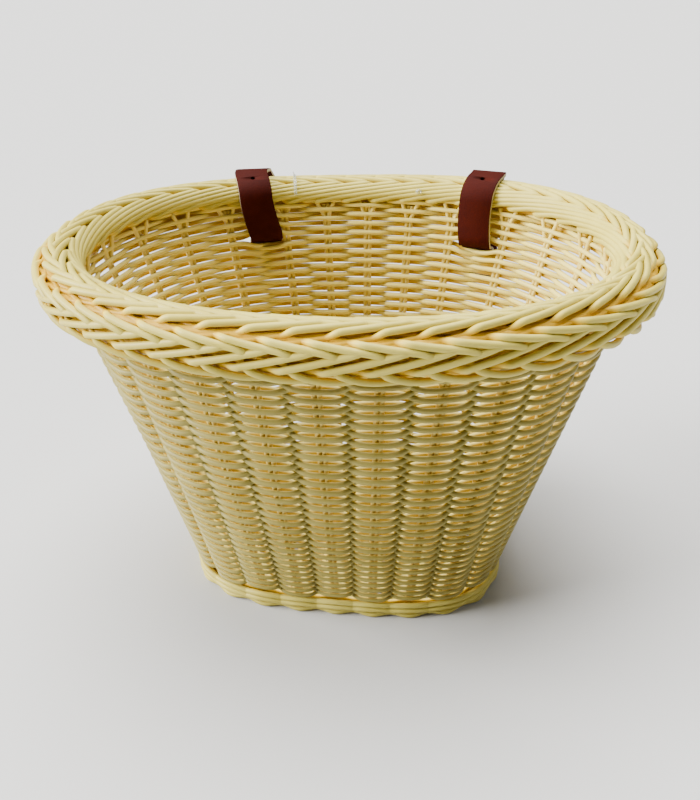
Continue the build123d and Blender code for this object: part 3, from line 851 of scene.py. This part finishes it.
def build_strap(name, side):
    mesh, edges = strap_mesh(name, side)
    piece = finish_piece(name, mesh, LEATHER)
    piece.data.materials.append(RAW_EDGE)
    piece.data.polygons.foreach_set("material_index", edges)
    hole_turn = math.radians(RIM_HOLE_AT)
    hole_out = RIM_OUT * math.cos(hole_turn) + UP * math.sin(hole_turn)
    over = RIM_AT_STRAP + RIM_OUT * OVER_WIDTH * math.cos(hole_turn)
    dip = back_dip(side * RIM_AT_STRAP[0], RIM_OUT[1])
    over = over + UP * (RIM_MIDDLE - dip + OVER_HEIGHT * math.sin(hole_turn))
    punches = [cutter([over], hole_out, RIM_HOLE_RADIUS, RIM_HOLE_DEPTH, side)]
    slot = [leg_point(HEEL_AT + down, 0) for down in PRONG_SLOT]
    punches.append(cutter(slot, LEG_OUT, HOLE_RADIUS, HOLE_DEPTH, side))
    for down in ADJUSTING_HOLES:
        punches.append(cutter([leg_point(HEEL_AT + down, 0)], LEG_OUT, HOLE_RADIUS, HOLE_DEPTH, side))
    for punch in punches:
        hole = piece.modifiers.new("hole", "BOOLEAN")
        hole.operation = "DIFFERENCE"
        hole.solver = "EXACT"
        hole.object = punch
    bake(piece)
    for punch in punches:
        bpy.data.objects.remove(punch)
    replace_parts(piece, name.replace("leather", "strap"))


def bake(piece):
    """Turns a piece's modifiers into its mesh."""
    bpy.context.view_layer.update()
    evaluated = piece.evaluated_get(bpy.context.evaluated_depsgraph_get())
    mesh = bpy.data.meshes.new_from_object(evaluated)
    piece.modifiers.clear()
    piece.data = mesh


# --- Ties --------------------------------------------------------------------------------------------------

BAND_SHARE = -0.0575
BAND_HALF_GAP = 0.55
BAND_RADIUS = 0.4
SPIKE_HEIGHT = 3.4
KNOT_SHARE = 0.0415
KNOT_ANGLE = 158.0
KNOT_RADIUS = 1.9


def on_back_rim(share, angle, gap):
    """A point just over the rim's surface, with the outward and rightward vectors."""
    flat, outwards = (lift(v) for v in RIM.at(share))
    out, up = rim_section(angle, -gap)
    height = RIM_MIDDLE + up - back_dip(flat[0], outwards[1])
    points = flat + outwards * np.asarray(out)[..., None] + UP * np.asarray(height)[..., None]
    return points, outwards, np.array([outwards[1], -outwards[0], 0.0])


def build_ties():
    """Clear nylon ties: a thin band with a cut end over the back rim, and a knot inside it."""
    piece = Strands("nylon_tie")
    band, outwards, along = on_back_rim(BAND_SHARE, np.linspace(35, 165, 24), 0.5)
    for offset in (-BAND_HALF_GAP, BAND_HALF_GAP):
        away = band - band.mean(0)
        piece.add(band + along * offset, away, BAND_RADIUS, np.zeros_like, 6, closed=False)
    top = on_back_rim(BAND_SHARE, 92.0, 0.3)[0]
    spike = top + np.linspace(0, 1, 6)[:, None] * (UP * SPIKE_HEIGHT - along * 0.8)
    across = np.tile(outwards, (6, 1))
    piece.add(spike, across, np.linspace(0.7, 0.35, 6), np.zeros_like, 6, closed=False)
    knot, outwards, along = on_back_rim(KNOT_SHARE, KNOT_ANGLE, 1.0)
    bead = knot + along * np.linspace(-KNOT_RADIUS, KNOT_RADIUS, 7)[:, None]
    size = KNOT_RADIUS * np.sin(np.linspace(0.35, math.pi - 0.35, 7))
    piece.add(bead, np.tile(-outwards, (7, 1)), size, np.zeros_like, 8, closed=False)
    piece.build(NYLON)


# --- Put together ------------------------------------------------------------------------------------------


def dress_cad_nodes():
    for name, node in frame["nodes"].items():
        if name.startswith("stake_pair"):
            material = STAKE_CREAM
        elif name.startswith("strap_keeper"):
            material = LEATHER
        else:
            material = BRASS
        if not node.hide_render:
            for slot in node.material_slots:
                slot.material = material


CAMERA = Vector((72.2, PLAN_Y - 459.2, 393.4)) * MM
TARGET = Vector((1.7, PLAN_Y, 110.7)) * MM
ROLL = math.radians(-1.573)
LENS = 39.28


def set_camera():
    data = bpy.data.cameras.new("camera")
    data.lens = LENS
    data.clip_start = 0.01
    camera = bpy.data.objects.new("camera", data)
    bpy.context.scene.collection.objects.link(camera)
    forward = (TARGET - CAMERA).normalized()
    right = forward.cross(Vector((0, 0, 1))).normalized()
    up = right.cross(forward)
    rolled_right = right * math.cos(ROLL) + up * math.sin(ROLL)
    rolled_up = up * math.cos(ROLL) - right * math.sin(ROLL)
    turn = Matrix((rolled_right, rolled_up, -forward)).transposed().to_4x4()
    camera.matrix_world = Matrix.Translation(CAMERA) @ turn
    bpy.context.scene.camera = camera


def add_sun(name, azimuth, elevation, strength, softness):
    """A soft distant light. Azimuth 0 shines from the front and 90 from +X."""
    data = bpy.data.lights.new(name, "SUN")
    data.energy = strength
    data.angle = math.radians(softness)
    light = bpy.data.objects.new(name, data)
    turn, rise = math.radians(azimuth), math.radians(elevation)
    source = Vector((math.sin(turn) * math.cos(rise), -math.cos(turn) * math.cos(rise), math.sin(rise)))
    light.rotation_euler = source.to_track_quat("Z", "Y").to_euler()
    light.location = source * 2
    bpy.context.scene.collection.objects.link(light)


def set_stage():
    mesh = bpy.data.meshes.new("floor")
    reach = 6.0
    corners = [(-reach, -reach, 0), (reach, -reach, 0), (reach, reach, 0), (-reach, reach, 0)]
    mesh.from_pydata(corners, [], [(0, 1, 2, 3)])
    floor = bpy.data.objects.new("floor", mesh)
    bpy.context.scene.collection.objects.link(floor)
    nodes = Nodes("pale_floor")
    nodes.set(Base_Color=(0.50, 0.495, 0.48, 1), Roughness=0.8)
    mesh.materials.append(nodes.material)
    world = bpy.data.worlds.new("studio")
    world.use_nodes = True
    world.node_tree.nodes["Background"].inputs["Color"].default_value = (1, 1, 1, 1)
    world.node_tree.nodes["Background"].inputs["Strength"].default_value = 0.07
    bpy.context.scene.world = world
    add_sun("top", 195, 73, 8.4, 50)
    add_sun("left", -82, 26, 11.5, 40)
    add_sun("right", 95, 28, 0.6, 40)


build_wall()
build_rim()
build_stake_tips()
build_foot()
build_base()
build_strap("leather_right", 1)
build_strap("leather_left", -1)
build_ties()
dress_cad_nodes()
set_camera()
set_stage()
